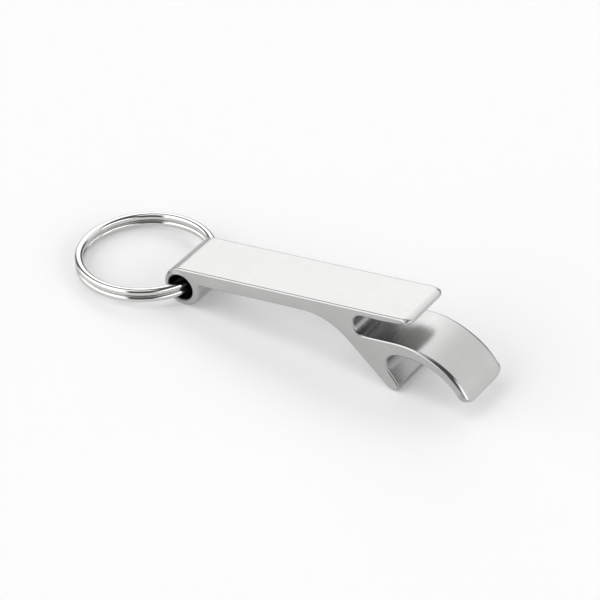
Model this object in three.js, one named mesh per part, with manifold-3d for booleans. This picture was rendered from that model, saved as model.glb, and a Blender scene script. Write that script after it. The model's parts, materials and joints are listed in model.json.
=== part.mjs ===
// Keychain bottle opener: one extruded aluminium body, and a two-turn split ring through its knuckle.
// Millimetres, +Z up, +X towards the opener's tongue. The opener lies on a table at z = 0, on its knuckle
// and its lip, with the ring's far side on the table too. The origin is below the middle of the whole.
import * as THREE from "three";
import { mergeVertices } from "three/addons/utils/BufferGeometryUtils.js";
import Module from "manifold-3d";

const wasm = await Module();
wasm.setup();

// Split ring
const RING_DIAMETER = 30;         // outside
const WIRE_WIDTH = 1.8;           // across the wire, along the ring's radius
const WIRE_HEIGHT = 1.5;          // across the wire, along the ring's axis
const TURN_GAP = 0.06;            // between the two turns
const CROSSOVER_END = 42;         // degrees round the ring from the knuckle, where the wire has changed turns
const CROSSOVER_SPAN = 30;        // degrees that the wire takes to climb there
const RING_DROP = 0.7;            // the ring's middle hangs this far below the bore's axis
const RING_CLEARANCE = 0.24;      // between the ring and the bore

// Body
const WIDTH = 13.5;               // across the opener
const EDGE_ROUND = 0.4;           // along both sides
const KNUCKLE_WALL = 1.5;         // mean wall round the bore
const KNUCKLE_SHIFT = 0.4;        // the knuckle's middle, from the bore towards the tongue
const KNUCKLE_RISE = 0.15;        // the knuckle's middle, above the bore's axis
const KNUCKLE_CORNER_ROUND = 0.5; // where the knuckle meets the handle's underside
const PLATE_REACH = 55.9;         // bore's axis to the plate's free end
const HANDLE_THICKNESS = 3.25;
const LEAF_ROOT = 1.37;           // thickness of the plate above the slot, at the slot's inner end
const LEAF_BELLY = 1.6;           // halfway along the slot
const LEAF_TIP = 1.25;            // at the plate's free end
const LEAF_TIP_ROUND = 0.55;
const LEAF_BELLY_ROUND = 20;
const PLATE_CORNER_ROUND = 1.2;   // the plate's corners, seen from above
const SLOT_DEPTH = 13.5;          // slot's inner end to the plate's free end
const SLOT_GAP = 4.76;            // plate to tongue
const TONGUE_FLAT = 8.9;          // slot's inner end to the tongue's first bend
const TONGUE_BENDS = [[19, 38], [13, 29]];  // the top's bends, each with its radius and its turn in degrees
const TONGUE_END = 1.7;           // straight stretch after the bends
const TONGUE_ROOT = 2.92;         // thickness over the pocket
const TONGUE_TIP = 2;             // thickness at the end
const TONGUE_CORNER_ROUND = 1.5;  // the tongue's end corners, seen square to its face
const POCKET_SETBACK = 6.73;      // slot's inner end to the pocket's back wall
const POCKET_ROUND = 2.9;
const POCKET_ROOF = 4.35;         // the pocket's back wall to the bend of the tongue's underside
const LIP_LEAN = 32;              // degrees that the lip's inner face leans from square to the plate
const LIP_HOOK = 2.1;             // the lip's edge, past the pocket's back wall
const LIP_DEPTH = 8.65;           // from the pocket's roof to the lip's bottom
const LIP_WIDTH = 2.32;           // along its bottom
const LIP_EDGE_ROUND = 0.5;
const LIP_TOE_ROUND = 0.9;
const LIP_HEEL_ROUND = 1.7;       // the round that the opener rests on
const WEB_SLOPE = 48.5;           // degrees below the plate
const WEB_ROUND = 13.75;

// Fineness
const CHORD_ERROR = 0.02;         // most that a straight facet leaves its arc by
const EDGE_STEPS = 2;
const WIRE_SIDES = 12;
const COIL_STEP = 6;              // degrees
const SAME_POINT = 1e-4;          // points nearer than this are one
const CUT_MARGIN = 2;             // how far a cutting solid stands past what it cuts

const radians = THREE.MathUtils.degToRad;
const arcSteps = (radius, sweep) => Math.ceil(Math.abs(sweep) / (2 * Math.acos(1 - CHORD_ERROR / radius)));
const arcPoint = (radius, angle) => new THREE.Vector2(radius * Math.cos(angle), radius * Math.sin(angle));

const aluminium = new THREE.MeshStandardMaterial({ color: 0xd9d9db, roughness: 0.38, metalness: 0.9 });
const nickel = new THREE.MeshStandardMaterial({ color: 0xd2cfcd, roughness: 0.08, metalness: 1 });

// The ring crosses the bore as an arc, centred on the bore's axis. The bore clears it at every angle.
const ringRadius = (RING_DIAMETER - WIRE_WIDTH) / 2;
const turnPitch = WIRE_HEIGHT + TURN_GAP;
const chordInset = Math.sqrt(ringRadius ** 2 - (WIDTH / 2) ** 2);
const ringCentre = -(ringRadius + chordInset) / 2;
const lowTurn = RING_DROP + turnPitch / 2;
const ringReach = Math.hypot((ringRadius - chordInset) / 2, lowTurn) + WIRE_WIDTH / 2;
const boreRadius = ringReach + RING_CLEARANCE;
const knuckleRadius = boreRadius + KNUCKLE_WALL;

// Heights are measured from the bore's axis, with the plate level.
const plateTop = KNUCKLE_RISE + knuckleRadius;
const knuckleLeft = KNUCKLE_SHIFT - knuckleRadius;
const knuckleRight = KNUCKLE_SHIFT + knuckleRadius;
const knuckleBottom = KNUCKLE_RISE - knuckleRadius;
const underside = plateTop - HANDLE_THICKNESS;
const slotEnd = PLATE_REACH - SLOT_DEPTH;
const slotRoof = plateTop - LEAF_ROOT;
const tongueTop = slotRoof - SLOT_GAP;
const pocketRoof = tongueTop - TONGUE_ROOT;
const pocketBack = slotEnd + POCKET_SETBACK;
const lipEdge = pocketBack + LIP_HOOK;
const lipBottom = pocketRoof - LIP_DEPTH;
const heel = lipEdge - LIP_WIDTH;
const webTop = heel - (underside - lipBottom) / Math.tan(radians(WEB_SLOPE));

// Corners of a run of arcs that turn down to the right, from a level start, as [x, z, radius].
function bendDown(x, z, bends) {
  const corners = [];
  let heading = 0;
  for (const [radius, turn] of bends) {
    const length = radius * Math.tan(radians(turn) / 2);
    x += length * Math.cos(heading);
    z += length * Math.sin(heading);
    corners.push([x, z, radius]);
    heading -= radians(turn);
    x += length * Math.cos(heading);
    z += length * Math.sin(heading);
  }
  return { corners, x, z, heading };
}

// The tongue's underside bends by the same angles as its top, with the two radii that bring it to the tip.
function tongueOutline() {
  const top = bendDown(slotEnd + TONGUE_FLAT, tongueTop, TONGUE_BENDS);
  const [along, down] = [Math.cos(top.heading), Math.sin(top.heading)];
  const tipRound = TONGUE_TIP / 2;
  const end = [top.x + TONGUE_END * along, top.z + TONGUE_END * down];
  const inner = [end[0] + TONGUE_TIP * down, end[1] - TONGUE_TIP * along];
  const bendStart = pocketBack + POCKET_ROOF;
  const reach = inner[0] - tipRound * along - bendStart;
  const drop = pocketRoof - inner[1] + tipRound * down;
  const turns = TONGUE_BENDS.map(([, turn]) => turn);
  const [sine, versine] = [Math.sin(radians(turns[0])), 1 - Math.cos(radians(turns[0]))];
  const [sineRest, versineRest] = [-down - sine, 1 - along - versine];
  const scale = sine * versineRest - versine * sineRest;
  const radii = [(reach * versineRest - drop * sineRest) / scale, (sine * drop - versine * reach) / scale];
  const bottom = bendDown(bendStart, pocketRoof, radii.map((radius, i) => [radius, turns[i]]));
  const corners = [...top.corners, [...end, tipRound], [...inner, tipRound], ...bottom.corners.reverse()];
  return { corners, end, heading: top.heading };
}

const tongue = tongueOutline();
const lipTurn = POCKET_ROUND * Math.tan(radians(LIP_LEAN) / 2);
const lipBend = pocketRoof - POCKET_ROUND - lipTurn;

// The opener's outline, clockwise from its top left corner, as [x, z, radius of the round].
const outline = [
  [knuckleLeft, plateTop, knuckleRadius],
  [PLATE_REACH, plateTop, LEAF_TIP_ROUND],
  [PLATE_REACH, plateTop - LEAF_TIP, LEAF_TIP_ROUND],
  [slotEnd + SLOT_DEPTH / 2, plateTop - LEAF_BELLY, LEAF_BELLY_ROUND],
  [slotEnd, slotRoof, SLOT_GAP / 2],
  [slotEnd, tongueTop, SLOT_GAP / 2],
  ...tongue.corners,
  [pocketBack, pocketRoof, POCKET_ROUND],
  [pocketBack, lipBend, POCKET_ROUND],
  [lipEdge, lipBend - LIP_HOOK / Math.tan(radians(LIP_LEAN)), LIP_EDGE_ROUND],
  [lipEdge, lipBottom, LIP_TOE_ROUND],
  [heel, lipBottom, LIP_HEEL_ROUND],
  [webTop, underside, WEB_ROUND],
  [knuckleRight, underside, KNUCKLE_CORNER_ROUND],
  [knuckleRight, knuckleBottom, knuckleRadius],
  [knuckleLeft, knuckleBottom, knuckleRadius],
];

// Points of a closed outline with a round at every corner. Two rounds that touch share a point.
function roundedPoints(corners) {
  const points = corners.flatMap(([x, z, radius], i) => {
    const corner = new THREE.Vector2(x, z);
    const towards = (other) => new THREE.Vector2(...other).sub(corner).normalize();
    const before = towards(corners.at(i - 1).slice(0, 2));
    const after = towards(corners[(i + 1) % corners.length].slice(0, 2));
    const half = before.angleTo(after) / 2;
    const centre = before.clone().add(after).setLength(radius / Math.sin(half)).add(corner);
    const from = before.multiplyScalar(radius / Math.tan(half)).add(corner).sub(centre).angle();
    const to = after.multiplyScalar(radius / Math.tan(half)).add(corner).sub(centre).angle();
    const sweep = THREE.MathUtils.euclideanModulo(to - from + Math.PI, 2 * Math.PI) - Math.PI;
    const steps = arcSteps(radius, sweep);
    const arc = Array.from({ length: steps + 1 }, (_, k) => arcPoint(radius, from + sweep * k / steps));
    return arc.map((point) => point.add(centre));
  });
  return points.filter((point, i) => point.distanceTo(points.at(i - 1)) > SAME_POINT);
}

function toSolid(geometry) {
  const bare = geometry.clone();
  bare.deleteAttribute("normal");
  bare.deleteAttribute("uv");
  const merged = mergeVertices(bare, SAME_POINT);
  const vertProperties = new Float32Array(merged.attributes.position.array);
  const triVerts = new Uint32Array(merged.index.array);
  return new wasm.Manifold(new wasm.Mesh({ numProp: 3, vertProperties, triVerts }));
}

function toGeometry(solid) {
  const { vertProperties, triVerts } = solid.getMesh();
  const geometry = new THREE.BufferGeometry();
  geometry.setAttribute("position", new THREE.BufferAttribute(vertProperties, 3));
  geometry.setIndex(new THREE.BufferAttribute(triVerts, 1));
  geometry.computeVertexNormals();
  return geometry;
}

// What a rounded corner leaves off a square one. The corner points to +X and +Y, and the solid runs along Z.
function cornerWaste(radius, length) {
  const far = CUT_MARGIN;
  const shape = new THREE.Shape();
  shape.moveTo(-radius, far);
  shape.lineTo(-radius, 0);
  shape.absarc(-radius, -radius, radius, Math.PI / 2, 0, true);
  shape.lineTo(far, -radius);
  shape.lineTo(far, far);
  return new THREE.ExtrudeGeometry(shape, { depth: length, bevelEnabled: false, curveSegments: 4 });
}

// What both corners of a free end lose. The end's outer face stops at end, [x, z], and points along heading.
function endCorners(end, heading, radius, thickness) {
  const along = new THREE.Vector3(Math.cos(heading), 0, Math.sin(heading));
  const up = new THREE.Vector3(-Math.sin(heading), 0, Math.cos(heading));
  const start = new THREE.Vector3(end[0], 0, end[1]).addScaledVector(up, -thickness - CUT_MARGIN / 2);
  return [1, -1].map((side) => {
    const waste = cornerWaste(radius, thickness + CUT_MARGIN);
    const out = new THREE.Vector3(0, side, 0);
    const frame = side > 0 ? [along, out, up] : [out, along, up];
    const corner = start.clone().addScaledVector(out, WIDTH / 2);
    return toSolid(waste.applyMatrix4(new THREE.Matrix4().makeBasis(...frame).setPosition(corner)));
  });
}

// The extrusion has rounded edges, and its two free ends have rounded corners.
function bodyGeometry() {
  const shape = new THREE.Shape(roundedPoints(outline));
  const boreSteps = arcSteps(boreRadius, 2 * Math.PI);
  const borePoint = (_, k) => arcPoint(boreRadius, 2 * Math.PI * k / boreSteps);
  shape.holes.push(new THREE.Path(Array.from({ length: boreSteps }, borePoint)));
  const extrusion = new THREE.ExtrudeGeometry(shape, {
    depth: WIDTH - 2 * EDGE_ROUND,
    bevelThickness: EDGE_ROUND,
    bevelSize: EDGE_ROUND,
    bevelOffset: -EDGE_ROUND,
    bevelSegments: EDGE_STEPS,
  });
  extrusion.translate(0, 0, EDGE_ROUND - WIDTH / 2).rotateX(Math.PI / 2);
  let body = toSolid(extrusion);
  const plateCorners = endCorners([PLATE_REACH, plateTop], 0, PLATE_CORNER_ROUND, LEAF_TIP);
  const tongueCorners = endCorners(tongue.end, tongue.heading, TONGUE_CORNER_ROUND, TONGUE_TIP);
  for (const waste of [...plateCorners, ...tongueCorners]) {
    body = body.subtract(waste);
  }
  return toGeometry(body);
}

// The wire lies in the lower turn, climbs one pitch over the crossover, and lies on itself in the upper turn.
class SplitRingPath extends THREE.Curve {
  getPoint(t) {
    const sweep = 720 - CROSSOVER_SPAN;
    const angle = t * sweep;
    const climb = THREE.MathUtils.clamp((angle - 360 + CROSSOVER_SPAN) / CROSSOVER_SPAN, 0, 1);
    const level = -Math.cos(Math.PI * climb) / 2;
    const turn = radians(CROSSOVER_END + angle);
    return new THREE.Vector3(ringRadius * Math.cos(turn), ringRadius * Math.sin(turn), turnPitch * level);
  }
}

function ringGeometry() {
  const section = new THREE.Shape();
  section.absellipse(0, 0, WIRE_HEIGHT / 2, WIRE_WIDTH / 2, 0, 2 * Math.PI);
  const steps = Math.round((720 - CROSSOVER_SPAN) / COIL_STEP);
  const extrudePath = new SplitRingPath();
  const coil = new THREE.ExtrudeGeometry(section, { steps, extrudePath, curveSegments: WIRE_SIDES / 2 });
  return coil.translate(ringCentre, 0, -RING_DROP);
}

// The angle at which a line through two rounds of a tilting piece rests on a level table.
function restingTilt(dx, dz, radiusDifference) {
  return Math.asin(radiusDifference / Math.hypot(dx, dz)) - Math.atan2(dz, dx);
}

// Lip and knuckle touch the table; then the ring's far side does.
const heelTangent = LIP_HEEL_ROUND * Math.tan(radians(WEB_SLOPE) / 2);
const heelCentre = [heel + heelTangent, lipBottom + LIP_HEEL_ROUND];
const bodyTilt = restingTilt(
  heelCentre[0] - KNUCKLE_SHIFT, heelCentre[1] - KNUCKLE_RISE, LIP_HEEL_ROUND - knuckleRadius,
);
const knuckleHeight = KNUCKLE_SHIFT * Math.sin(bodyTilt) + KNUCKLE_RISE * Math.cos(bodyTilt);
const boreHeight = knuckleRadius - knuckleHeight;
const ringTilt = restingTilt(ringRadius - ringCentre, -lowTurn, WIRE_HEIGHT / 2 - boreHeight);

const body = new THREE.Mesh(bodyGeometry(), aluminium);
body.name = "opener_body";
body.rotation.y = -bodyTilt;

const ring = new THREE.Mesh(ringGeometry(), nickel);
ring.name = "split_ring";
ring.rotation.y = ringTilt;

const opener = new THREE.Group();
opener.add(body, ring);
opener.updateMatrixWorld(true);
const extent = new THREE.Box3().setFromObject(opener, true);
opener.position.set(-(extent.min.x + extent.max.x) / 2, 0, -extent.min.z);

export default opener;
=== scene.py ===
"""Keychain bottle opener: a satin aluminium extrusion on a bright split ring, in a white light tent."""
import json
import math

import bmesh
import bpy
import numpy as np
from mathutils import Matrix, Vector


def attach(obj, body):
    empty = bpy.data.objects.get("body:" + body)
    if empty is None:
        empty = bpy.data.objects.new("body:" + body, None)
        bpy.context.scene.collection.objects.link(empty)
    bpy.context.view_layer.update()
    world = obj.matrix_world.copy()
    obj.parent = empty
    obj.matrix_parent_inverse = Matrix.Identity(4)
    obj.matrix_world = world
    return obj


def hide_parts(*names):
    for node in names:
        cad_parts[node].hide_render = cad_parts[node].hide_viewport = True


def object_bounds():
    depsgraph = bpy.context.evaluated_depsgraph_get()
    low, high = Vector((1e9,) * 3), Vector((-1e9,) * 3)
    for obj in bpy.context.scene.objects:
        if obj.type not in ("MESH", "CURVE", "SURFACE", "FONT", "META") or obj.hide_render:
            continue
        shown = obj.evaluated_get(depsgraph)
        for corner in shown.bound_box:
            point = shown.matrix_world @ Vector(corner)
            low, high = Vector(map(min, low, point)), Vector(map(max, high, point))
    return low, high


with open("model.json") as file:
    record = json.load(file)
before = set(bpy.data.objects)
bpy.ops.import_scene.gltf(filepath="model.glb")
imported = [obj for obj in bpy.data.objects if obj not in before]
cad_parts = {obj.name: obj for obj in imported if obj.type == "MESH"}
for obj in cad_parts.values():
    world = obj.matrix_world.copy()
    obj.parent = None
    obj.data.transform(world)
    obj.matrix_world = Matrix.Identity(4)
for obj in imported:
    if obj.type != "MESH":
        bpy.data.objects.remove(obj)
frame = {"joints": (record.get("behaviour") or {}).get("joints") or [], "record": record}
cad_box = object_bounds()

MM = 0.001

# The opener's outline, in mm. Heights are from the bore's axis, with the plate level.
WIDTH = 13.5
BORE_RADIUS = 2.852
KNUCKLE_RADIUS = 4.352
KNUCKLE_SHIFT = 0.4
KNUCKLE_RISE = 0.15
KNUCKLE_CORNER_ROUND = 0.5
PLATE_REACH = 55.9
HANDLE_THICKNESS = 3.25
LEAF_ROOT = 1.37                        # the plate above the slot is the leaf
LEAF_BELLY = 1.6
LEAF_TIP = 1.25
LEAF_TIP_ROUND = 0.36
LEAF_ROLL = 4                           # radius of the top's roll-off at the plate's free end
LEAF_ROLL_RUN = 1.2
LEAF_ROLL_DROP = 0.45
LEAF_BELLY_ROUND = 20
SLOT_DEPTH = 13.5
SLOT_GAP = 4.76
TONGUE_FLAT = 8.9
TONGUE_BENDS = ((19, 38), (13, 29))     # each bend's radius, and its turn in degrees
TONGUE_END = 1.7
TONGUE_ROOT = 2.92
TONGUE_TIP = 2
TONGUE_TIP_ROUNDS = (0.45, 1)           # at the tip's outer and inner corners
POCKET_SETBACK = 6.73
POCKET_ROUND = 2.9
POCKET_ROOF = 4.35
LIP_LEAN = 32                           # degrees
LIP_HOOK = 2.1
LIP_DEPTH = 8.65
LIP_WIDTH = 2.32
LIP_EDGE_ROUND = 0.5
LIP_TOE_ROUND = 1
LIP_HEEL_ROUND = 2.8
WEB_SLOPE = 48.5                        # degrees
WEB_ROUND = 13.75

# The body's edges, in mm
EDGE_ROUND = 0.48
TONGUE_EDGE_ROUND = 0.88                # at the middle of the tongue's outer face
TONGUE_EDGE_SPREAD = 11                 # how far it takes to fade to the usual round
TONGUE_EDGE_FULL = 1.25                 # where the fade starts: what is over 1 keeps the full round
TONGUE_FACING = (0.6, 0.8)              # the way that the outer face looks, in the outline's plane
TONGUE_FACING_LEAST = 0.3               # how much a normal on that face shares of it
BORE_EDGE_ROUND = 0.3
PLATE_CORNER_ROUND = 2
TONGUE_CORNER_ROUND = 2.4
TONGUE_BEND_CORNER = 8                  # the outline's corner in the middle of the tongue
CORNER_BLEND = 2.2                      # how far a corner's round reaches back, in corner radii
CORNER_DEPTH = (-0.5, 1.8)              # how deep it reaches from the end's top edge, in thicknesses

# The painted shade inside the slot and the pocket, as shares of the bore's painted shade
SLOT_PAINTED_SHADE = 0.45
SLOT_SHADE_GROWTH = 1.2                 # how fast it deepens along the slot
POCKET_PAINTED_SHADE = 0.4
POCKET_SHADE_FULL = 1.2                 # where its fade starts: what is over 1 keeps the full shade
POCKET_SHADE_RUN = 9                    # mm that the fade takes
POCKET_SHADE_DEPTH = 0.85               # how far down it reaches, in lip depths
SHADE_MARGIN = 0.1                      # mm past the walls that still count as inside

# The split ring, in mm and degrees
RING_DIAMETER = 30
WIRE_WIDTH = 1.8
WIRE_HEIGHT = 1.52
WIRE_SQUARENESS = 2.25                  # 2 is an oval section, and more is squarer
TURN_PITCH = 1.56
CROSSOVER_END = 42
CROSSOVER_SPAN = 30
RING_DROP = 0.7
CUT_ROUND = 0.12                        # at the wire's two cut ends
UV_PER_MM = 0.1                         # along the wire

# Fineness
ARC_STEP = 3.0                          # degrees
FEWEST_ARC_STEPS = 4
LONGEST_STEP = 0.9                      # mm along the outline
SAME_POINT = 1e-4                       # points nearer than this are one
EDGE_STEPS = 8
CORNER_STEPS = 8
ACROSS_STEPS = 6
BORE_STEPS = 120
WIRE_SIDES = 48
COIL_STEP = 1.0                         # degrees
CUT_STEPS = 4
HEADING_STEP = 0.01                     # degrees either way, to find the way that the wire runs

# The camera, in degrees and mm
VIEW_AZIMUTH = 32.24
VIEW_ELEVATION = 37.04
VIEW_ROLL = 1.16
VIEW_DISTANCE = 689.6
VIEW_LENS = 204.3
AIM_OFFSET = (4.33, 0.52, -2.49)        # from the middle of the model's box
CLIP = (0.01, 20)                       # m

# Materials. Noise scales are in turns a metre, or a unit of the wire's UV map.
NOISE_SPAN = (0.3, 0.7)                 # where most of a noise's values lie
GRAIN_SCALE = 5200
DIE_LINE_SCALE = (2600, 45, 2600)
ALUMINIUM_CLOUD_SCALE = 160
ALUMINIUM_DARKEST = (0.485, 0.483, 0.479, 1)
ALUMINIUM_LIGHTEST = (0.515, 0.512, 0.507, 1)
ALUMINIUM_ROUGHNESS = (0.22, 0.27)
ROUGHNESS_DRIFT = (-0.015, 0.015)       # from the clouds, and again from the die lines
WORN_ROUGHNESS = -0.1                   # added along the edges
PAINTED_EDGE_REFLECTION = 0.86                       # times the base colour along the worn edges, a painted dark edge reflection
RECESS_PAINTED_SHADE = 0.3                      # times the base colour deep in the bore: painted shade
FINE_BUMP = (0.00001, 0.03)             # distance in m, and strength
HAIRLINE_SCALE = (12, 90, 1)
NICKEL_CLOUD_SCALE = 300
NICKEL_COLOUR = (0.64, 0.635, 0.625, 1)
NICKEL_ROUGHNESS = (0.035, 0.08)
NICKEL_DRIFT = (-0.01, 0.015)
HAIRLINE_BUMP = (0.000005, 0.04)        # distance in m, and strength
TABLE_COLOUR = (0.84, 0.84, 0.84, 1)
TABLE_GLOW = 0.16
TABLE_REACH = 3.0                       # m each way

# The light tent. Levels are strengths. Each pair says where a fade starts and ends, in parts of the unit
# direction: x to the right, y to the back and z up, or beside and towards the camera.
HORIZON = 0.25                          # share of the level at the horizon, in the front and at the right
HORIZON_FADE = (0.0, 0.18)
BACK_LEFT = 1.9
BACK_RIGHT = 1.16
BACK_FADE = (-0.5, 0.1)                 # along x, from the left level to the right one
BACK_TOP = (0.4, 0.5)                   # along y
BACK_FOOT = (0.8, 0.9)                  # along y
BACK_HAZE = 0.1                         # share of the level low down at the left
BACK_HAZE_FADE = (0.05, 0.36)
BACK_HAZE_LIFT = 0.25                   # how much lower the haze lies at the right
BACK_HAZE_LIFT_FADE = (0.0, 0.6)
FRONT = 2.05
FRONT_EDGE = (-0.08, 0.12)              # along y
FRONT_SLANT = (0.0, 0.3)                # along x: within it, the edge moves forward by x
OPENING_SIDE = (0.4, 0.52)              # beside the camera's direction
OPENING_FRONT = (0.16, 0.3)             # towards the camera
RIGHT = 2.2
RIGHT_EDGE = (0.62, 0.8)                # along x
RIGHT_BACK = (0.35, 0.5)                # along y
SEAM_LEFT = 0.2                         # between the walls, at the left
DARK = 0.13                             # and from overhead to the right
SEAM_FADE = (-0.5, 0.0)                 # along x


def row_place():
    """The matrix that takes the level body from the bore's axis to its place in the row frame."""
    joint = frame["joints"][0]
    plate = next(m for m in frame["record"]["mounts"] if m["name"] == "plate_top")
    tilt = math.atan2(-plate["axis"][0], plate["axis"][2])
    return Matrix.Translation(joint["pos_m"]) @ Matrix.Rotation(-tilt, 4, "Y")


# ---------------------------------------------------------------- outline

def bend_down(x, z, bends):
    """Corners (x, z, radius) of arcs that turn down to the right, and the place and heading at their end."""
    corners = []
    heading = 0.0
    for radius, turn in bends:
        length = radius * math.tan(math.radians(turn) / 2)
        x += length * math.cos(heading)
        z += length * math.sin(heading)
        corners.append((x, z, radius))
        heading -= math.radians(turn)
        x += length * math.cos(heading)
        z += length * math.sin(heading)
    return corners, x, z, heading


def tongue_corners(slot_end, tongue_top, pocket_back, pocket_roof):
    """Corners from the tongue's first bend round its tip to the pocket, and the tip's place and heading."""
    corners, x, z, heading = bend_down(slot_end + TONGUE_FLAT, tongue_top, TONGUE_BENDS)
    along, down = math.cos(heading), math.sin(heading)
    outer_round, inner_round = TONGUE_TIP_ROUNDS
    end = (x + TONGUE_END * along, z + TONGUE_END * down)
    inner = (end[0] + TONGUE_TIP * down, end[1] - TONGUE_TIP * along)
    bend_start = pocket_back + POCKET_ROOF
    reach = inner[0] - inner_round * along - bend_start
    drop = pocket_roof - inner[1] + inner_round * down
    turns = [math.radians(turn) for _, turn in TONGUE_BENDS]
    sine, versine = math.sin(turns[0]), 1 - math.cos(turns[0])
    steps = [[sine, -down - sine], [versine, 1 - along - versine]]
    radii = np.linalg.solve(steps, [reach, drop])
    bends = [(radius, turn) for radius, (_, turn) in zip(radii, TONGUE_BENDS)]
    bottom = bend_down(bend_start, pocket_roof, bends)[0]
    return corners + [(*end, outer_round), (*inner, inner_round)] + bottom[::-1], end, heading


def slot_and_pocket():
    """The slot's inner end, its roof and its floor, and the pocket's back wall and its roof."""
    slot_end = PLATE_REACH - SLOT_DEPTH
    slot_roof = KNUCKLE_RISE + KNUCKLE_RADIUS - LEAF_ROOT
    tongue_top = slot_roof - SLOT_GAP
    return slot_end, slot_roof, tongue_top, slot_end + POCKET_SETBACK, tongue_top - TONGUE_ROOT


def outline_corners():
    """The body's outline, clockwise from its top left corner, and its two free ends.

    A corner is (x, z, radius), and an end is (its top edge, heading, thickness, corner round).
    """
    top = KNUCKLE_RISE + KNUCKLE_RADIUS
    left = KNUCKLE_SHIFT - KNUCKLE_RADIUS
    right = KNUCKLE_SHIFT + KNUCKLE_RADIUS
    bottom = KNUCKLE_RISE - KNUCKLE_RADIUS
    underside = top - HANDLE_THICKNESS
    slot_end, slot_roof, tongue_top, pocket_back, pocket_roof = slot_and_pocket()
    lip_edge = pocket_back + LIP_HOOK
    lip_bottom = pocket_roof - LIP_DEPTH
    heel = lip_edge - LIP_WIDTH
    web_top = heel - (underside - lip_bottom) / math.tan(math.radians(WEB_SLOPE))
    lean = math.radians(LIP_LEAN)
    lip_bend = pocket_roof - POCKET_ROUND * (1 + math.tan(lean / 2))
    tongue, tongue_tip, heading = tongue_corners(slot_end, tongue_top, pocket_back, pocket_roof)
    corners = [
        (left, top, KNUCKLE_RADIUS),
        (PLATE_REACH - LEAF_ROLL_RUN, top, LEAF_ROLL),
        (PLATE_REACH, top - LEAF_ROLL_DROP, LEAF_TIP_ROUND),
        (PLATE_REACH, top - LEAF_TIP, LEAF_TIP_ROUND),
        (slot_end + SLOT_DEPTH / 2, top - LEAF_BELLY, LEAF_BELLY_ROUND),
        (slot_end, slot_roof, SLOT_GAP / 2),
        (slot_end, tongue_top, SLOT_GAP / 2),
        *tongue,
        (pocket_back, pocket_roof, POCKET_ROUND),
        (pocket_back, lip_bend, POCKET_ROUND),
        (lip_edge, lip_bend - LIP_HOOK / math.tan(lean), LIP_EDGE_ROUND),
        (lip_edge, lip_bottom, LIP_TOE_ROUND),
        (heel, lip_bottom, LIP_HEEL_ROUND),
        (web_top, underside, WEB_ROUND),
        (right, underside, KNUCKLE_CORNER_ROUND),
        (right, bottom, KNUCKLE_RADIUS),
        (left, bottom, KNUCKLE_RADIUS),
    ]
    ends = [
        (Vector((PLATE_REACH, top)), 0.0, LEAF_TIP, PLATE_CORNER_ROUND),
        (Vector(tongue_tip), heading, TONGUE_TIP, TONGUE_CORNER_ROUND),
    ]
    return corners, ends


def rounded_outline(corners):
    """Points and outward normals round the outline, with an arc at each corner and no long step between."""
    points, normals = [], []
    for i, (x, z, radius) in enumerate(corners):
        corner = Vector((x, z))
        before = (Vector(corners[i - 1][:2]) - corner).normalized()
        after = (Vector(corners[(i + 1) % len(corners)][:2]) - corner).normalized()
        half = before.angle(after) / 2
        centre = corner + (before + after).normalized() * radius / math.sin(half)
        first = corner + before * radius / math.tan(half) - centre
        last = corner + after * radius / math.tan(half) - centre
        start = math.atan2(first.y, first.x)
        sweep = (math.atan2(last.y, last.x) - start + math.pi) % math.tau - math.pi
        by_angle = math.ceil(abs(sweep) / math.radians(ARC_STEP))
        by_length = math.ceil(abs(sweep) * radius / LONGEST_STEP)
        steps = max(FEWEST_ARC_STEPS, by_angle, by_length)
        side = 1 if sweep < 0 else -1
        for k in range(steps + 1):
            angle = start + sweep * k / steps
            ray = Vector((math.cos(angle), math.sin(angle)))
            points.append(centre + ray * radius)
            normals.append(ray * side)
    return fill_straights(points, normals)


def fill_straights(points, normals):
    """The outline with points added along each long stretch, and doubled points left out."""
    full = []
    for i, point in enumerate(points):
        following = points[(i + 1) % len(points)]
        gap = (following - point).length
        if gap < SAME_POINT:
            continue
        steps = max(1, math.ceil(gap / LONGEST_STEP))
        for k in range(steps):
            share = k / steps
            normal = normals[i].lerp(normals[(i + 1) % len(points)], share).normalized()
            full.append((*point.lerp(following, share), *normal))
    return np.array(full)


# ---------------------------------------------------------------- body

def across_row(edge_round):
    """Points across the body, from the near side, as (y, how far the edge's round has drawn in)."""
    flat = WIDTH / 2 - edge_round
    turns = [math.pi / 2 * k / EDGE_STEPS for k in range(EDGE_STEPS, 0, -1)]
    edge = [(flat + edge_round * math.sin(a), edge_round * (1 - math.cos(a))) for a in turns]
    corner_start = WIDTH / 2 - max(PLATE_CORNER_ROUND, TONGUE_CORNER_ROUND)
    turns = [math.pi / 2 * k / CORNER_STEPS for k in range(CORNER_STEPS, 0, -1)]
    corner = [(corner_start + (flat - corner_start) * math.sin(a), 0.0) for a in turns]
    middle = [(corner_start * k / ACROSS_STEPS, 0.0) for k in range(ACROSS_STEPS, 0, -1)]
    half = edge + corner + middle
    return np.array([(-y, inset) for y, inset in half] + [(0.0, 0.0)] + half[::-1])


def edge_rounds(outline, corners):
    """The edge's round at each point of the outline. The middle of the tongue's top has a rounder one."""
    bend = np.array(corners[TONGUE_BEND_CORNER][:2])
    away = np.linalg.norm(outline[:, :2] - bend, axis=1)
    outer_face = outline[:, 2:] @ np.array(TONGUE_FACING) > TONGUE_FACING_LEAST
    share = np.where(outer_face, smooth(TONGUE_EDGE_FULL - away / TONGUE_EDGE_SPREAD), 0)
    return EDGE_ROUND + (TONGUE_EDGE_ROUND - EDGE_ROUND) * share


def smooth(values):
    """The values held between 0 and 1, and eased at both ends."""
    values = np.clip(values, 0, 1)
    return values * values * (3 - 2 * values)


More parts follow.
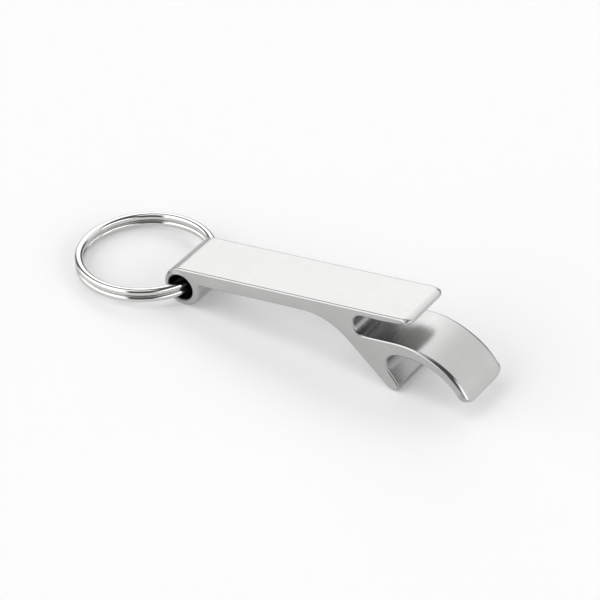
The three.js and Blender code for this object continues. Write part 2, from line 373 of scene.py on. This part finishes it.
def round_corners(grid, end, heading, thickness, corner_round):
    """Draws the two corners of a free end back into rounds, seen square to the end's face."""
    along = np.array([math.cos(heading), math.sin(heading)])
    up = np.array([-along[1], along[0]])
    offset = grid[..., [0, 2]] - np.array(end)
    back = -offset @ along
    depth = -offset @ up
    reach = corner_round * CORNER_BLEND
    shallowest, deepest = (thickness * share for share in CORNER_DEPTH)
    near_end = (back < reach) & (depth > shallowest) & (depth < deepest)
    weight = np.where(near_end, smooth(1 - back / reach), 0)
    share = np.clip((np.abs(grid[..., 1]) - WIDTH / 2 + corner_round) / corner_round, 0, 1)
    pull = (corner_round - EDGE_ROUND) * (1 - np.sqrt(1 - share ** 2)) * weight
    grid[..., 0] -= pull * along[0]
    grid[..., 2] -= pull * along[1]


def grid_normals(grid):
    """Outward normals of a grid that closes on itself along its first direction and has flat sides."""
    around = np.roll(grid, -1, axis=0) - np.roll(grid, 1, axis=0)
    normals = np.cross(around, np.gradient(grid, axis=1))
    normals /= np.linalg.norm(normals, axis=2, keepdims=True)
    normals[:, 0] = (0, -1, 0)
    normals[:, -1] = (0, 1, 0)
    return normals


def bore_grid(rows):
    """The bore's wall as a grid of points, with a small round at each mouth."""
    flat = WIDTH / 2 - BORE_EDGE_ROUND
    turns = [math.pi / 2 * k / EDGE_STEPS for k in range(EDGE_STEPS, -1, -1)]
    half = [(flat + BORE_EDGE_ROUND * math.sin(a), BORE_EDGE_ROUND * (1 - math.cos(a))) for a in turns]
    half += [(flat * k / rows, 0.0) for k in range(rows - 1, 0, -1)]
    profile = [(-y, flare) for y, flare in half] + [(0.0, 0.0)] + half[::-1]
    angles = np.linspace(0, math.tau, BORE_STEPS, endpoint=False)
    grid = np.zeros((BORE_STEPS, len(profile), 3))
    for j, (y, flare) in enumerate(profile):
        grid[:, j, 0] = (BORE_RADIUS + flare) * np.cos(angles)
        grid[:, j, 1] = y
        grid[:, j, 2] = (BORE_RADIUS + flare) * np.sin(angles)
    return grid


def body_grid():
    """The body's outer surface as a grid, round the outline and then across, and which points are worn and
    get a painted dark edge reflection.
    """
    corners, ends = outline_corners()
    outline = rounded_outline(corners)
    rows = np.array([across_row(edge_round) for edge_round in edge_rounds(outline, corners)])
    y, inset = rows[..., 0], rows[..., 1]
    x = outline[:, None, 0] - inset * outline[:, None, 2]
    z = outline[:, None, 1] - inset * outline[:, None, 3]
    grid = np.stack([x, y, z], axis=2)
    for end, heading, thickness, corner_round in ends:
        round_corners(grid, end, heading, thickness, corner_round)
    # The worn edges, which also get a painted dark reflection. The side caps stay clear.
    worn_and_painted_edges = inset > 0
    worn_and_painted_edges[:, [0, -1]] = False
    return grid, worn_and_painted_edges


def add_grid(bm, grid):
    """Vertices and faces of a grid that closes on itself along its first direction."""
    count, rows = grid.shape[:2]
    verts = [[bm.verts.new(grid[i, j]) for j in range(rows)] for i in range(count)]
    for i in range(count):
        following = verts[(i + 1) % count]
        for j in range(rows - 1):
            bm.faces.new((verts[i][j], following[j], following[j + 1], verts[i][j + 1]))
    return verts


def cap_side(bm, rings, outward):
    """Fills the flat side between the outline's ring and the bore's ring."""
    edges = []
    for ring in rings:
        for a, b in zip(ring, ring[1:] + ring[:1]):
            edges.append(bm.edges.get((a, b)))
    filled = bmesh.ops.triangle_fill(bm, use_beauty=True, edges=edges, normal=outward)
    for face in filled["geom"]:
        if isinstance(face, bmesh.types.BMFace) and face.normal.dot(outward) < 0:
            face.normal_flip()


def painted_shade_share(grid):
    """How much painted shade each point gets. The slot and the pocket darken towards their closed ends."""
    x, z = grid[..., 0], grid[..., 2]
    slot_end, slot_roof, tongue_top, pocket_back, pocket_roof = slot_and_pocket()
    lowest = pocket_roof - LIP_DEPTH * POCKET_SHADE_DEPTH
    in_slot = (x > slot_end - SHADE_MARGIN) & (z > tongue_top - SHADE_MARGIN) & (z < slot_roof + SHADE_MARGIN)
    in_pocket = (x > pocket_back - SHADE_MARGIN) & (z < pocket_roof + SHADE_MARGIN) & (z > lowest)
    slot = np.where(in_slot, smooth(SLOT_SHADE_GROWTH * (slot_end + SLOT_DEPTH - x) / SLOT_DEPTH), 0)
    pocket = np.where(in_pocket, smooth(POCKET_SHADE_FULL - (x - pocket_back) / POCKET_SHADE_RUN), 0)
    share = slot * SLOT_PAINTED_SHADE + pocket * POCKET_PAINTED_SHADE
    share[:, [0, -1]] = 0
    return share


def add_attribute(mesh, name, *grids):
    """A value for each vertex, from the outer surface's grid and then the bore's."""
    values = np.concatenate([grid.ravel() for grid in grids]).astype(np.float32)
    mesh.attributes.new(name, "FLOAT", "POINT").data.foreach_set("value", values)


def build_body():
    """The level body's mesh, with its attributes for edge wear with a painted dark reflection and for painted
    shade in the recesses, and its normals.
    """
    outer, worn_and_painted_edges = body_grid()
    bore = bore_grid(ACROSS_STEPS)
    bm = bmesh.new()
    outer_verts = add_grid(bm, outer)
    bore_verts = add_grid(bm, bore)
    for j, side in ((0, -1), (-1, 1)):
        rings = [[column[j] for column in outer_verts], [column[j] for column in bore_verts]]
        cap_side(bm, rings, Vector((0, side, 0)))
    mesh = bpy.data.meshes.new("opener_body_fine")
    bm.to_mesh(mesh)
    bm.free()
    # Painted shade over the whole bore wall, clear of the side caps.
    bore_painted_shade = np.ones(bore.shape[:2])
    bore_painted_shade[:, [0, -1]] = 0
    add_attribute(mesh, "wear_and_painted_edge", worn_and_painted_edges, np.zeros(bore.shape[:2]))
    add_attribute(mesh, "recess_painted_shade", painted_shade_share(outer), bore_painted_shade)
    return mesh, np.concatenate([grid_normals(grid).reshape(-1, 3) for grid in (outer, bore)])


def make_body(place):
    """The body as an object in the row frame."""
    mesh, normals = build_body()
    mesh.transform(place @ Matrix.Scale(MM, 4))
    turn = np.array(place.to_3x3())
    mesh.shade_smooth()
    mesh.normals_split_custom_set_from_vertices((normals @ turn.T).tolist())
    mesh.materials.append(satin_aluminium())
    body = bpy.data.objects.new("opener_body_fine", mesh)
    bpy.context.scene.collection.objects.link(body)
    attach(body, "opener")
    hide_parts("opener_body")


# ---------------------------------------------------------------- materials

def new_material(name):
    """A material, its node tree, and its shader."""
    material = bpy.data.materials.new(name)
    material.use_nodes = True
    tree = material.node_tree
    return material, tree, tree.nodes["Principled BSDF"]


def noise(tree, vector, scale, detail):
    """A noise's value at the vector."""
    node = tree.nodes.new("ShaderNodeTexNoise")
    node.inputs["Scale"].default_value = scale
    node.inputs["Detail"].default_value = detail
    tree.links.new(vector, node.inputs["Vector"])
    return node.outputs["Fac"]


def stretched(tree, vector, scale):
    """The vector, scaled along each axis."""
    node = tree.nodes.new("ShaderNodeMapping")
    node.inputs["Scale"].default_value = scale
    tree.links.new(vector, node.inputs["Vector"])
    return node.outputs["Vector"]


def attribute(tree, name):
    """The mesh's attribute of that name."""
    node = tree.nodes.new("ShaderNodeAttribute")
    node.attribute_name = name
    return node.outputs["Fac"]


def mapped(tree, value, low, high, from_low=NOISE_SPAN[0], from_high=NOISE_SPAN[1]):
    """The value taken from its own span to low and high, and held there beyond it."""
    node = tree.nodes.new("ShaderNodeMapRange")
    node.inputs["From Min"].default_value = from_low
    node.inputs["From Max"].default_value = from_high
    node.inputs["To Min"].default_value = low
    node.inputs["To Max"].default_value = high
    tree.links.new(value, node.inputs["Value"])
    return node.outputs["Result"]


def combined(tree, operation, *values):
    """The values joined by a math node's operation, one after another. Each is a socket."""
    result = values[0]
    for value in values[1:]:
        node = tree.nodes.new("ShaderNodeMath")
        node.operation = operation
        tree.links.new(result, node.inputs[0])
        tree.links.new(value, node.inputs[1])
        result = node.outputs["Value"]
    return result


def bump(tree, height, distance, strength, normal=None):
    """A normal that the height tilts, on top of another normal if one is given."""
    node = tree.nodes.new("ShaderNodeBump")
    node.inputs["Strength"].default_value = strength
    node.inputs["Distance"].default_value = distance
    tree.links.new(height, node.inputs["Height"])
    if normal is not None:
        tree.links.new(normal, node.inputs["Normal"])
    return node.outputs["Normal"]


def shaded_tint(tree, share, shade):
    """A colour between the aluminium's two tints, darkened by the painted shade and the painted edge
    reflection.
    """
    tint = tree.nodes.new("ShaderNodeMix")
    tint.data_type = "RGBA"
    tint.inputs[6].default_value = ALUMINIUM_DARKEST
    tint.inputs[7].default_value = ALUMINIUM_LIGHTEST
    tree.links.new(share, tint.inputs[0])
    shaded = tree.nodes.new("ShaderNodeVectorMath")
    shaded.operation = "SCALE"
    tree.links.new(tint.outputs[2], shaded.inputs[0])
    tree.links.new(shade, shaded.inputs["Scale"])
    return shaded.outputs["Vector"]


def satin_aluminium():
    """Blasted and anodised: fine grain, faint die lines across the width, worn edges with a painted dark
    reflection, and painted shade in the bore, slot and pocket.
    """
    material, tree, shader = new_material("satin_aluminium")
    coordinates = tree.nodes.new("ShaderNodeTexCoord").outputs["Object"]
    grain = noise(tree, coordinates, GRAIN_SCALE, 3)
    die_lines = noise(tree, stretched(tree, coordinates, DIE_LINE_SCALE), 1.0, 3)
    clouds = noise(tree, coordinates, ALUMINIUM_CLOUD_SCALE, 2)
    wear_and_painted_edge = attribute(tree, "wear_and_painted_edge")
    recess_painted_shade = attribute(tree, "recess_painted_shade")
    roughness = combined(
        tree, "ADD", mapped(tree, grain, *ALUMINIUM_ROUGHNESS), mapped(tree, clouds, *ROUGHNESS_DRIFT),
        mapped(tree, die_lines, *ROUGHNESS_DRIFT), mapped(tree, wear_and_painted_edge, 0.0, WORN_ROUGHNESS, 0.0, 1.0))
    tree.links.new(roughness, shader.inputs["Roughness"])
    # The base colour is darkened by painted shade in the bore, slot and pocket, and by a painted dark
    # reflection along the worn edges.
    shade = combined(
        tree, "MULTIPLY", mapped(tree, recess_painted_shade, 1.0, RECESS_PAINTED_SHADE, 0.0, 1.0),
        mapped(tree, wear_and_painted_edge, 1.0, PAINTED_EDGE_REFLECTION, 0.0, 1.0))
    colour = shaded_tint(tree, mapped(tree, clouds, 0.0, 1.0), shade)
    tree.links.new(colour, shader.inputs["Base Color"])
    shader.inputs["Metallic"].default_value = 1.0
    lines = bump(tree, die_lines, *FINE_BUMP)
    tree.links.new(bump(tree, grain, *FINE_BUMP, lines), shader.inputs["Normal"])
    return material


def polished_nickel():
    """Bright plate with hairlines that run along the wire."""
    material, tree, shader = new_material("polished_nickel")
    wire = tree.nodes.new("ShaderNodeUVMap")
    wire.uv_map = "wire"
    coordinates = tree.nodes.new("ShaderNodeTexCoord").outputs["Object"]
    hairlines = noise(tree, stretched(tree, wire.outputs["UV"], HAIRLINE_SCALE), 1.0, 4)
    clouds = noise(tree, coordinates, NICKEL_CLOUD_SCALE, 2)
    roughness = combined(
        tree, "ADD", mapped(tree, hairlines, *NICKEL_ROUGHNESS), mapped(tree, clouds, *NICKEL_DRIFT))
    tree.links.new(roughness, shader.inputs["Roughness"])
    shader.inputs["Base Color"].default_value = NICKEL_COLOUR
    shader.inputs["Metallic"].default_value = 1.0
    tree.links.new(bump(tree, hairlines, *HAIRLINE_BUMP), shader.inputs["Normal"])
    return material


def paper_white():
    """Matt white with a slight glow, for a table that is nearly as white as its surroundings."""
    material, _, shader = new_material("paper_white")
    shader.inputs["Base Color"].default_value = TABLE_COLOUR
    shader.inputs["Emission Color"].default_value = (1, 1, 1, 1)
    shader.inputs["Emission Strength"].default_value = TABLE_GLOW
    shader.inputs["Roughness"].default_value = 1.0
    shader.inputs["Specular IOR Level"].default_value = 0.0
    return material


# ---------------------------------------------------------------- split ring

def ring_place():
    """The matrix that takes the ring, flat with its middle at the origin, to its place in the row frame."""
    joint = frame["joints"][0]
    radius = (RING_DIAMETER - WIRE_WIDTH) / 2
    inset = math.sqrt(radius ** 2 - (WIDTH / 2) ** 2)
    centre = -(radius + inset) / 2
    bore_height = joint["pos_m"][2] / MM
    low_turn = RING_DROP + TURN_PITCH / 2
    dx, dz = radius - centre, -low_turn
    tilt = math.asin((WIRE_HEIGHT / 2 - bore_height) / math.hypot(dx, dz)) - math.atan2(dz, dx)
    swing = Matrix.Translation(joint["pos_m"]) @ Matrix.Rotation(tilt, 4, "Y") @ Matrix.Scale(MM, 4)
    return swing @ Matrix.Translation((centre, 0, -RING_DROP))


def coil_point(angle):
    """The point of the wire's middle line that is angle degrees from its lower end."""
    radius = (RING_DIAMETER - WIRE_WIDTH) / 2
    climb = min(max((angle - 360 + CROSSOVER_SPAN) / CROSSOVER_SPAN, 0), 1)
    level = -math.cos(math.pi * climb) / 2
    turn = math.radians(CROSSOVER_END + angle)
    return Vector((radius * math.cos(turn), radius * math.sin(turn), TURN_PITCH * level))


def wire_stations():
    """(angle, how far the section has drawn in) along the wire, with a small round at each cut end."""
    total = 720 - CROSSOVER_SPAN
    steps = round(total / COIL_STEP)
    round_angle = math.degrees(CUT_ROUND / (RING_DIAMETER / 2))
    turns = [math.pi / 2 * k / CUT_STEPS for k in range(CUT_STEPS, -1, -1)]
    head = [(round_angle * (1 - math.sin(a)), CUT_ROUND * (1 - math.cos(a))) for a in turns]
    middle = [(k * total / steps, 0.0) for k in range(1, steps)]
    tail = [(total - angle, cut) for angle, cut in reversed(head)]
    return head + middle + tail


def wire_section(angle, cut):
    """The points of the wire's section, a rounded square drawn in by the cut's round."""
    point = coil_point(angle)
    ahead = (coil_point(angle + HEADING_STEP) - coil_point(angle - HEADING_STEP)).normalized()
    out = Vector((point.x, point.y, 0)).normalized()
    up = out.cross(ahead)
    power = 2 / WIRE_SQUARENESS
    points = []
    for k in range(WIRE_SIDES):
        a = math.tau * k / WIRE_SIDES
        c, s = math.cos(a), math.sin(a)
        across = math.copysign(abs(c) ** power, c) * (WIRE_WIDTH / 2 - cut)
        height = math.copysign(abs(s) ** power, s) * (WIRE_HEIGHT / 2 - cut)
        points.append(point + out * across + up * height)
    return points


def join_sections(bm, uv, rings, lengths):
    """Faces between each section and the next. The UV map runs along the wire, and then round it."""
    for i in range(len(rings) - 1):
        for k in range(WIRE_SIDES):
            following = (k + 1) % WIRE_SIDES
            quad = (rings[i][k], rings[i][following], rings[i + 1][following], rings[i + 1][k])
            face = bm.faces.new(quad)
            marks = ((i, k), (i, k + 1), (i + 1, k + 1), (i + 1, k))
            for loop, (row, side) in zip(face.loops, marks):
                loop[uv].uv = (lengths[row] * UV_PER_MM, side / WIRE_SIDES)


def build_ring():
    """The wire swept along its coil, with a flat cut at each end."""
    stations = wire_stations()
    bm = bmesh.new()
    uv = bm.loops.layers.uv.new("wire")
    rings = [[bm.verts.new(point) for point in wire_section(angle, cut)] for angle, cut in stations]
    join_sections(bm, uv, rings, [math.radians(angle) * RING_DIAMETER / 2 for angle, _ in stations])
    bm.faces.new(rings[0][::-1])
    bm.faces.new(rings[-1])
    bmesh.ops.recalc_face_normals(bm, faces=bm.faces)
    mesh = bpy.data.meshes.new("split_ring_fine")
    bm.to_mesh(mesh)
    bm.free()
    return mesh


def make_ring():
    """The split ring as an object in the row frame."""
    mesh = build_ring()
    mesh.transform(ring_place())
    mesh.shade_smooth()
    mesh.materials.append(polished_nickel())
    ring = bpy.data.objects.new("split_ring_fine", mesh)
    bpy.context.scene.collection.objects.link(ring)
    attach(ring, "ring")
    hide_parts("split_ring")


# ---------------------------------------------------------------- stage

def make_floor():
    """A wide white table under the object."""
    mesh = bpy.data.meshes.new("table")
    corners = [(x * TABLE_REACH, y * TABLE_REACH, 0) for x, y in ((-1, -1), (1, -1), (1, 1), (-1, 1))]
    mesh.from_pydata(corners, [], [(0, 1, 2, 3)])
    mesh.materials.append(paper_white())
    table = bpy.data.objects.new("table", mesh)
    bpy.context.scene.collection.objects.link(table)


def weighted(tree, vector, weights):
    """The vector's dot product with the weights."""
    node = tree.nodes.new("ShaderNodeVectorMath")
    node.operation = "DOT_PRODUCT"
    tree.links.new(vector, node.inputs[0])
    node.inputs[1].default_value = weights
    return node.outputs["Value"]


def absolute(tree, value):
    """The value without its sign."""
    node = tree.nodes.new("ShaderNodeMath")
    node.operation = "ABSOLUTE"
    tree.links.new(value, node.inputs[0])
    return node.outputs["Value"]


def back_wall(tree, x, y, z):
    """The back wall's level. It is dim low down at the left, where the far edges reflect it."""
    lifted = combined(tree, "ADD", z, mapped(tree, x, 0.0, BACK_HAZE_LIFT, *BACK_HAZE_LIFT_FADE))
    return combined(
        tree, "MULTIPLY", mapped(tree, y, 0.0, 1.0, *BACK_TOP), mapped(tree, y, 1.0, 0.0, *BACK_FOOT),
        mapped(tree, x, BACK_LEFT, BACK_RIGHT, *BACK_FADE),
        mapped(tree, lifted, BACK_HAZE, 1.0, *BACK_HAZE_FADE))


def front_wall(tree, direction, x, y, haze):
    """The front wall's level, with a dark opening where the photographer stands."""
    azimuth = math.radians(VIEW_AZIMUTH)
    beside = absolute(tree, weighted(tree, direction, (math.cos(azimuth), math.sin(azimuth), 0)))
    forward = weighted(tree, direction, (math.sin(azimuth), -math.cos(azimuth), 0))
    round_opening = combined(
        tree, "MAXIMUM", mapped(tree, beside, 0.0, 1.0, *OPENING_SIDE),
        mapped(tree, forward, 1.0, 0.0, *OPENING_FRONT))
    slanted = combined(tree, "ADD", y, mapped(tree, x, *FRONT_SLANT, *FRONT_SLANT))
    return combined(tree, "MULTIPLY", mapped(tree, slanted, FRONT, 0.0, *FRONT_EDGE), round_opening, haze)


def right_wall(tree, x, y, haze):
    """The right wall's level. It ends before the back wall begins."""
    return combined(
        tree, "MULTIPLY", mapped(tree, x, 0.0, RIGHT, *RIGHT_EDGE), mapped(tree, y, 1.0, 0.0, *RIGHT_BACK),
        haze)


def make_world():
    """The tent's light: its back, front and right walls, and a dim seam between them."""
    world = bpy.data.worlds.new("tent")
    world.use_nodes = True
    tree = world.node_tree
    direction = tree.nodes.new("ShaderNodeTexCoord").outputs["Generated"]
    x, y, z = (weighted(tree, direction, axis) for axis in ((1, 0, 0), (0, 1, 0), (0, 0, 1)))
    haze = mapped(tree, z, HORIZON, 1.0, *HORIZON_FADE)
    level = combined(
        tree, "MAXIMUM", back_wall(tree, x, y, z), front_wall(tree, direction, x, y, haze),
        right_wall(tree, x, y, haze), mapped(tree, x, SEAM_LEFT, DARK, *SEAM_FADE))
    tree.links.new(level, tree.nodes["Background"].inputs["Strength"])
    tree.nodes["Background"].inputs["Color"].default_value = (1, 1, 1, 1)
    bpy.context.scene.world = world


def make_camera():
    """The camera, which looks down at the object from the front right."""
    low, high = cad_box
    aim = (low + high) / 2 + Vector(AIM_OFFSET) * MM
    azimuth, elevation = math.radians(VIEW_AZIMUTH), math.radians(VIEW_ELEVATION)
    back = Vector((
        math.sin(azimuth) * math.cos(elevation),
        -math.cos(azimuth) * math.cos(elevation),
        math.sin(elevation),
    ))
    data = bpy.data.cameras.new("camera")
    data.lens = VIEW_LENS
    data.clip_start, data.clip_end = CLIP
    camera = bpy.data.objects.new("camera", data)
    level = (-back).to_track_quat("-Z", "Y").to_matrix().to_4x4()
    roll = Matrix.Rotation(math.radians(VIEW_ROLL), 4, "Z")
    camera.matrix_world = Matrix.Translation(aim + back * VIEW_DISTANCE * MM) @ level @ roll
    bpy.context.scene.collection.objects.link(camera)
    bpy.context.scene.camera = camera


make_camera()
make_body(row_place())
make_ring()
make_floor()
make_world()
bpy.context.scene.view_settings.view_transform = "Standard"
